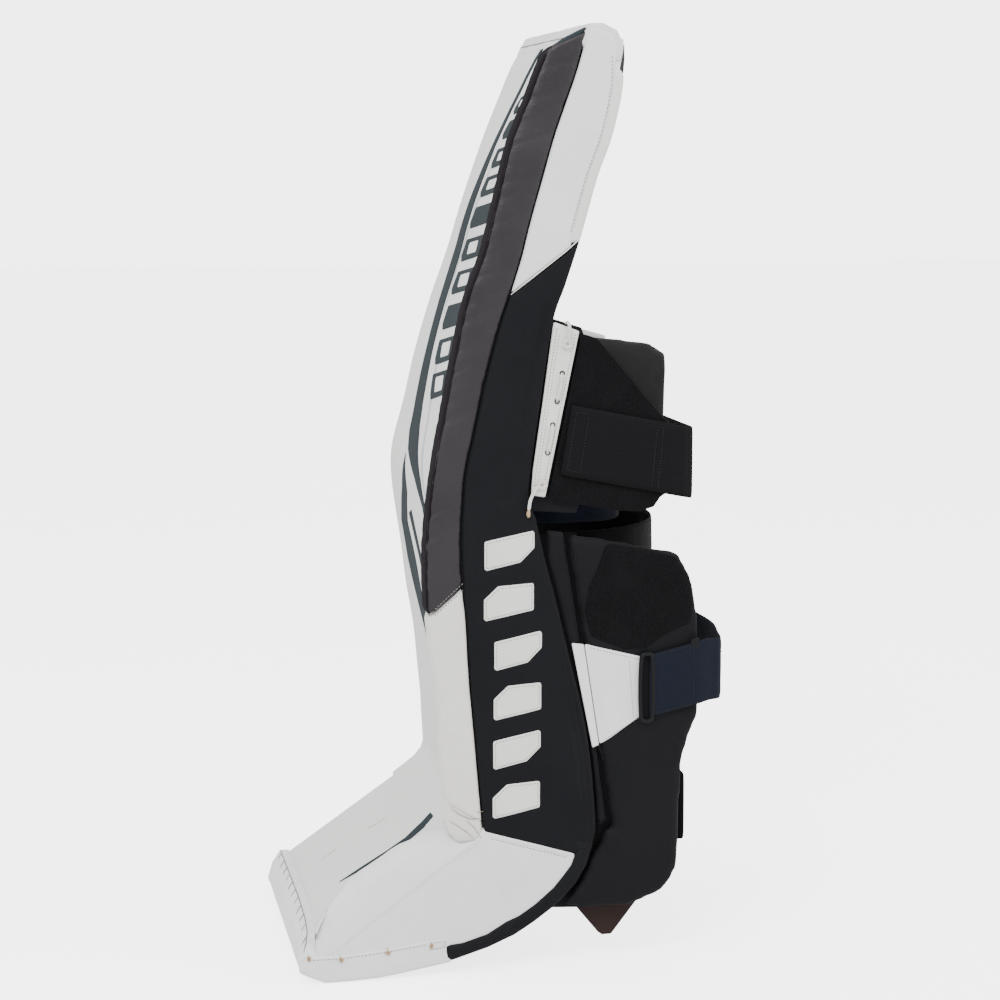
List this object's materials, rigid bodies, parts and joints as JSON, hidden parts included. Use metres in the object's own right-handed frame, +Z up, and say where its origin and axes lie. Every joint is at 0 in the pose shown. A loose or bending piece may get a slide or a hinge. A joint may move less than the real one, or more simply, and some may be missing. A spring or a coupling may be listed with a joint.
{
  "type": "goalie leg pad",
  "caption": "Ice hockey goalie leg pad for the left leg, with a raised outer roll, flexing boot, hinged knee and calf wings, elastic straps and a stitched toe.",
  "frame": {"origin": "centre of the pad's outline seen from above, at the height of the flat underside of the toe that it stands on", "axes": "+X across the pad towards its outer side, +Y towards the leg side, away from the striking face, +Z up along the pad towards the thigh end"},
  "size_m": [0.2844, 0.42, 0.86],
  "materials": {
    "white_leather": "smooth white synthetic leather with a fine grain and a light satin sheen",
    "cream_leather": "slightly warm off-white leather, satin",
    "dark_leather": "dark navy-brown grained synthetic leather, semi-gloss",
    "black_leather": "black grained leather, semi-matt",
    "brown_leather": "dark brown heavy leather, matt",
    "black_nylon": "black woven nylon, coated, fine weave, matt",
    "grey_mesh": "dark grey lining mesh",
    "hook_pile": "black brushed loop pile",
    "black_elastic": "black woven elastic webbing, ribbed",
    "navy_elastic": "dark navy woven elastic webbing",
    "graphic_grey": "dark teal-grey printed leather inlay",
    "foam": "closed-cell foam, hidden under the covers",
    "lace": "waxed cord, off-white",
    "tan_lace": "waxed cord, tan",
    "black_plastic": "moulded plastic, satin"
  },
  "bodies": {
    "leg_section": {"leg_core": "foam", "leg_face_cover": "white_leather", "face_stripe": "graphic_grey", "outer_roll_upper": "dark_leather", "outer_roll_lower": "cream_leather", "outer_side_top": "white_leather", "outer_side_panel": "black_nylon", "outer_side_bars": "white_leather", "leg_binding": "black_leather", "inner_side_panel": "white_leather", "thigh_back_panel": "black_nylon", "thigh_back_strip": "cream_leather", "top_cap": "white_leather", "outer_bolster": "black_nylon", "inner_bolster": "black_nylon", "shin_liner": "grey_mesh", "knee_cradle": "grey_mesh", "knee_block": "black_leather", "knee_block_top": "white_leather", "lace_strip": "cream_leather", "knee_lace": "lace", "outer_wing_root": "black_nylon", "inner_wing_root": "black_nylon", "upper_calf_strap": "navy_elastic"},
    "boot": {"boot_core": "foam", "boot_face_cover": "white_leather", "boot_stripe": "graphic_grey", "boot_side_outer": "white_leather", "boot_side_inner": "white_leather", "toe_cap": "white_leather", "toe_stitches": "lace", "toe_knots": "tan_lace", "toe_bridge": "black_plastic", "boot_binding": "black_leather"},
    "knee_wing": {"knee_wing_pad": "black_leather", "knee_flap": "hook_pile"},
    "knee_strap": {"knee_strap": "black_elastic", "knee_strap_keeper": "black_elastic"},
    "outer_wing": {"outer_calf_wing": "black_nylon", "calf_hook_pad": "hook_pile", "calf_tab": "white_leather"},
    "calf_strap": {"calf_strap": "navy_elastic", "calf_ring": "black_plastic", "calf_strap_tab": "black_nylon"},
    "inner_wing": {"inner_calf_wing": "black_nylon", "inner_ankle_lobe": "black_nylon", "inner_hook_pad": "hook_pile"},
    "ankle_flap": {"ankle_flap": "brown_leather"}
  },
  "joints": [
    {"name": "boot_flex", "type": "hinge", "parent": "leg_section", "child": "boot", "pos_m": [-0.0027, -0.047, 0.138], "axis": [1, 0, 0], "range_deg": [-8, 6], "stiffness_Nm_per_rad": 80},
    {"name": "knee_wing_open", "type": "hinge", "parent": "leg_section", "child": "knee_wing", "pos_m": [0.1347, 0.05, 0.59], "axis": [0, -0.1999, -0.9798], "range_deg": [0, 70]},
    {"name": "knee_strap_peel", "type": "hinge", "parent": "knee_wing", "child": "knee_strap", "pos_m": [0.1355, 0.0415, 0.5233], "axis": [0, -0.1747, -0.9846], "range_deg": [0, 65]},
    {"name": "outer_wing_open", "type": "hinge", "parent": "leg_section", "child": "outer_wing", "pos_m": [0.1343, 0.0345, 0.42], "axis": [0, 0.1544, -0.988], "range_deg": [0, 60]},
    {"name": "calf_strap_peel", "type": "hinge", "parent": "outer_wing", "child": "calf_strap", "pos_m": [0.1365, 0.104, 0.262], "axis": [0, 0, -1], "range_deg": [0, 80]},
    {"name": "inner_wing_open", "type": "hinge", "parent": "leg_section", "child": "inner_wing", "pos_m": [-0.1397, 0.0345, 0.42], "axis": [0, -0.1544, 0.988], "range_deg": [0, 50]},
    {"name": "ankle_flap_swing", "type": "hinge", "parent": "outer_wing", "child": "ankle_flap", "pos_m": [0.11605, 0.083, 0.068], "axis": [0, 1, 0], "range_deg": [0, 35]}
  ]
}
